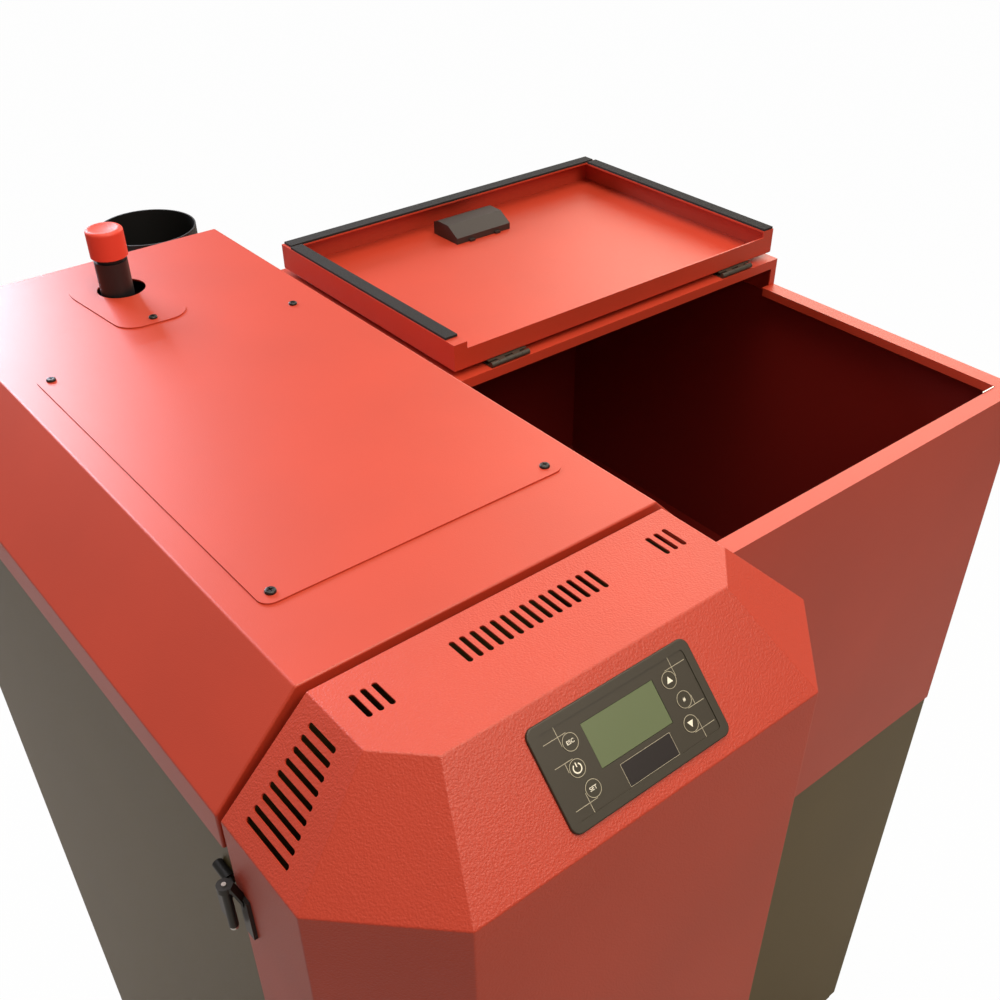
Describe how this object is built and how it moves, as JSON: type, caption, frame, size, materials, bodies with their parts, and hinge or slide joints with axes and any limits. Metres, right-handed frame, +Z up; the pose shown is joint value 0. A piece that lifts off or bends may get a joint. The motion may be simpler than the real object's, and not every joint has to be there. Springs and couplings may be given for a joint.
{
  "type": "wood and pellet boiler",
  "caption": "Wood and pellet boiler with a slanted control panel, an open hopper beside it, a relief valve on top and a flue at the rear.",
  "frame": {"origin": "bottom centre of the bounding box, on the floor", "axes": "+Z up, -Y is the front with the control panel, +X runs from the boiler to the hopper"},
  "size_m": [1.14, 1.1894, 1.6004],
  "materials": {
    "red_paint": "leather-textured powder coat",
    "dark_paint": "fine-textured powder coat",
    "black_paint": "satin",
    "boiler_steel": "primed, matte",
    "sheet_steel": "galvanised",
    "bright_steel": "zinc plated",
    "cast_iron": "as cast",
    "black_plastic": "moulded",
    "red_plastic": "moulded",
    "key_plastic": "membrane",
    "window": "display window",
    "black_rubber": "foam",
    "seal_rope": "braided glass rope",
    "wool": "mineral wool",
    "brass": "satin",
    "board": "circuit board"
  },
  "bodies": {
    "casing": {"ash_pan": "sheet_steel", "auger_tube": "sheet_steel", "base_rails": "black_paint", "cleaning_hatch": "boiler_steel", "cover_hinge_brackets": "black_paint", "cover_hinge_pins": "bright_steel", "door_hinge_brackets": "black_paint", "drain_valve": "brass", "fan_housing": "sheet_steel", "fan_motor": "black_paint", "fire_grate": "cast_iron", "firebox": "boiler_steel", "flue_tee": "black_paint", "front_frame": "dark_paint", "gearmotor": "black_paint", "hopper_bin": "sheet_steel", "hopper_lower_casing": "dark_paint", "hopper_upper_casing": "red_paint", "insulation_slabs": "wool", "left_side_panel": "dark_paint", "levelling_feet": "black_plastic", "lid_hinge_plates": "black_paint", "lid_switch": "bright_steel", "magnet_catches": "bright_steel", "pellet_burner": "sheet_steel", "power_inlet": "black_plastic", "rear_panel": "sheet_steel", "relief_valve_body": "black_paint", "right_side_panel": "dark_paint", "screws_and_nuts": "black_paint", "service_plate": "red_paint", "top_cover": "red_paint", "tube_bundle": "boiler_steel", "turbulators": "sheet_steel", "valve_plate": "red_paint", "water_jacket": "boiler_steel"},
    "front_cover": {"front_cover": "red_paint", "cover_hinge_arms": "black_paint", "display_housing": "black_plastic", "display_window": "window", "control_board": "board"},
    "key_esc": {"key_esc": "key_plastic"},
    "key_power": {"key_power": "key_plastic"},
    "key_set": {"key_set": "key_plastic"},
    "key_up": {"key_up": "key_plastic"},
    "key_menu": {"key_menu": "key_plastic"},
    "key_down": {"key_down": "key_plastic"},
    "loading_door": {"loading_door": "boiler_steel", "loading_door_seal": "seal_rope"},
    "loading_door_latch": {"loading_door_latch": "black_paint"},
    "ash_door": {"ash_door": "boiler_steel", "ash_door_seal": "seal_rope"},
    "ash_door_latch": {"ash_door_latch": "black_paint"},
    "hopper_lid": {"hopper_lid": "red_paint", "lid_seal_strips": "black_rubber", "lid_handle": "black_plastic", "lid_hinge_leaves": "black_paint"},
    "relief_valve_cap": {"relief_valve_cap": "red_plastic"},
    "auger_screw": {"auger_screw": "bright_steel"},
    "fan_impeller": {"fan_impeller": "bright_steel"}
  },
  "joints": [
    {"name": "front_cover_swing", "type": "hinge", "parent": "casing", "child": "front_cover", "pos_m": [-0.5638, -0.40475, 1.4], "axis": [0, 0, 1], "range_deg": [-110, 0]},
    {"name": "loading_door_swing", "type": "hinge", "parent": "casing", "child": "loading_door", "pos_m": [-0.5045, -0.39675, 0.8], "axis": [0, 0, 1], "range_deg": [-100, 0]},
    {"name": "loading_door_latch_turn", "type": "hinge", "parent": "loading_door", "child": "loading_door_latch", "pos_m": [-0.1185, -0.40475, 0.8], "axis": [0, 1, 0], "range_deg": [0, 60]},
    {"name": "ash_door_swing", "type": "hinge", "parent": "casing", "child": "ash_door", "pos_m": [-0.5045, -0.39675, 0.27], "axis": [0, 0, 1], "range_deg": [-100, 0]},
    {"name": "ash_door_latch_turn", "type": "hinge", "parent": "ash_door", "child": "ash_door_latch", "pos_m": [-0.1185, -0.40475, 0.27], "axis": [0, 1, 0], "range_deg": [0, 60]},
    {"name": "hopper_lid_swing", "type": "hinge", "parent": "casing", "child": "hopper_lid", "pos_m": [0.2775, 0.02425, 1.443], "axis": [1, 0, 0], "range_deg": [0, 180]},
    {"name": "relief_valve_twist", "type": "hinge", "parent": "casing", "child": "relief_valve_cap", "pos_m": [-0.2825, 0.34125, 1.582], "axis": [0, 0, 1], "range_deg": [0, 90]},
    {"name": "auger_turn", "type": "hinge", "parent": "casing", "child": "auger_screw", "pos_m": [0.269, -0.09075, 0.422], "axis": [1, 0, 0], "continuous": true},
    {"name": "fan_turn", "type": "hinge", "parent": "casing", "child": "fan_impeller", "pos_m": [0.247, -0.09075, 0.27], "axis": [1, 0, 0], "continuous": true},
    {"name": "key_esc_press", "type": "slide", "parent": "front_cover", "child": "key_esc", "axis": [0, 0.7071, -0.7071], "range_m": [0, 0.0005], "stiffness_N_per_m": 800},
    {"name": "key_power_press", "type": "slide", "parent": "front_cover", "child": "key_power", "axis": [0, 0.7071, -0.7071], "range_m": [0, 0.0005], "stiffness_N_per_m": 800},
    {"name": "key_set_press", "type": "slide", "parent": "front_cover", "child": "key_set", "axis": [0, 0.7071, -0.7071], "range_m": [0, 0.0005], "stiffness_N_per_m": 800},
    {"name": "key_up_press", "type": "slide", "parent": "front_cover", "child": "key_up", "axis": [0, 0.7071, -0.7071], "range_m": [0, 0.0005], "stiffness_N_per_m": 800},
    {"name": "key_menu_press", "type": "slide", "parent": "front_cover", "child": "key_menu", "axis": [0, 0.7071, -0.7071], "range_m": [0, 0.0005], "stiffness_N_per_m": 800},
    {"name": "key_down_press", "type": "slide", "parent": "front_cover", "child": "key_down", "axis": [0, 0.7071, -0.7071], "range_m": [0, 0.0005], "stiffness_N_per_m": 800}
  ],
  "couplings": [
    {"joint": "loading_door_swing", "follows": "front_cover_swing", "ratio": 0.85},
    {"joint": "ash_door_swing", "follows": "front_cover_swing", "ratio": 0.85}
  ]
}
